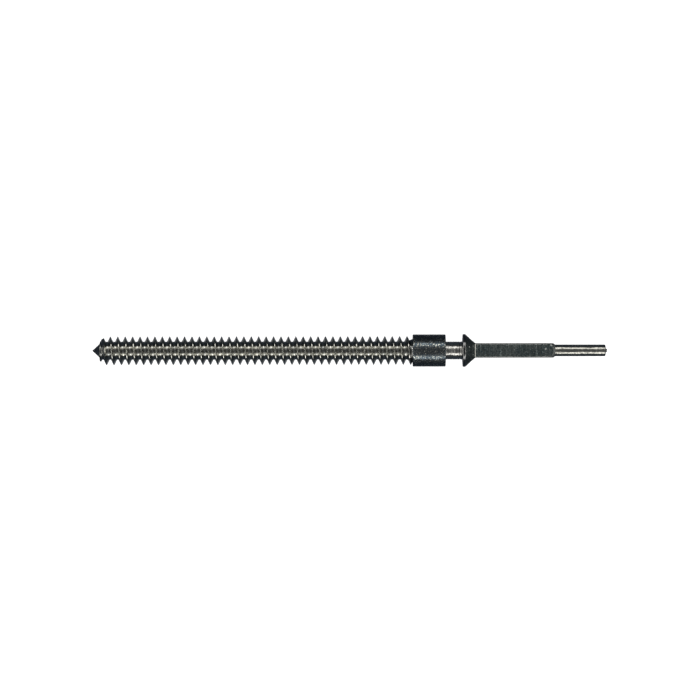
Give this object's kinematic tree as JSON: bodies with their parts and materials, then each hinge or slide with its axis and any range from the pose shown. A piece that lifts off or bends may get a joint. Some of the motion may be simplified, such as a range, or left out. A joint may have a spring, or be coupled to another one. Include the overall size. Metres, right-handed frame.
{
  "type": "watch winding stem",
  "caption": "Slim steel winding stem: long crown thread with a pointed tip, plain journal, setting-lever groove, coned collar, clutch square and end pilot.",
  "frame": {"origin": "on the stem's axis, at the middle of the journal that turns in the main plate", "axes": "+X along the axis from the threaded tip to the pilot, +Z square to one flat of the clutch square, +Y to its left when seen from +Z with +X to the right as up"},
  "size_m": [0.0156, 0.001, 0.001],
  "materials": {
    "hardened_steel": "hardened and lightly polished steel with fine turning and milling marks"
  },
  "bodies": {
    "root": {"winding_stem": "hardened_steel"}
  },
  "joints": []
}
